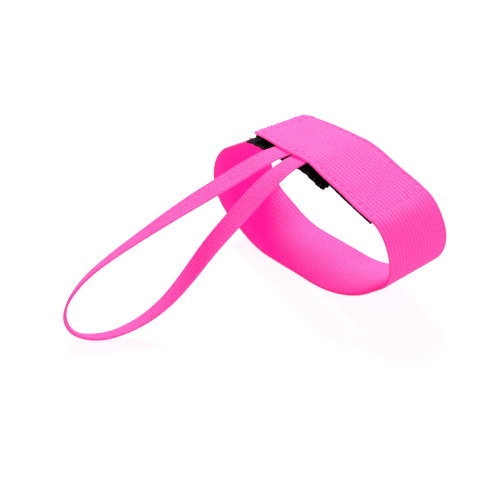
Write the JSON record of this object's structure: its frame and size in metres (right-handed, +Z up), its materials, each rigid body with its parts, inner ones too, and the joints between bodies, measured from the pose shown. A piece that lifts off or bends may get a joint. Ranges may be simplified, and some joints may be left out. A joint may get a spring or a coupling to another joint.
{
  "type": "elastic wrist strap",
  "caption": "Wrist strap of wide ribbed elastic with a hook and loop closure flap and a finger loop of narrow elastic, for a wrist pin cushion.",
  "frame": {"origin": "middle of the flat stretch that the ring of wide elastic stands on", "axes": "+Z up to the closure, Y along the ring's axis with the finger loop leaving towards -Y, +X towards the flap's crease"},
  "size_m": [0.0851, 0.1045, 0.0431],
  "materials": {
    "wide_elastic": "ribbed knitted elastic, pink",
    "narrow_elastic": "ribbed braided elastic, pink",
    "hook_tape": "black woven tape with moulded hooks",
    "loop_tape": "black tape with a brushed loop pile",
    "thread": "spun polyester sewing thread, pink"
  },
  "bodies": {
    "band": {"wrist_band": "wide_elastic", "hook_tape": "hook_tape", "hook_tape_seam": "thread"},
    "flap": {"closure_flap": "wide_elastic", "loop_tape": "loop_tape", "loop_tape_seam": "thread", "finger_loop_sewn_ends": "narrow_elastic"},
    "finger_loop": {"finger_loop": "narrow_elastic"}
  },
  "joints": [
    {"name": "flap_peel", "type": "hinge", "parent": "band", "child": "flap", "pos_m": [0.03808, 0, 0.03482], "axis": [0, 1, 0], "range_deg": [0, 110]},
    {"name": "loop_swing", "type": "hinge", "parent": "flap", "child": "finger_loop", "pos_m": [0.0004, -0.013, 0.0413], "axis": [-1, 0, 0], "range_deg": [0, 70]}
  ]
}
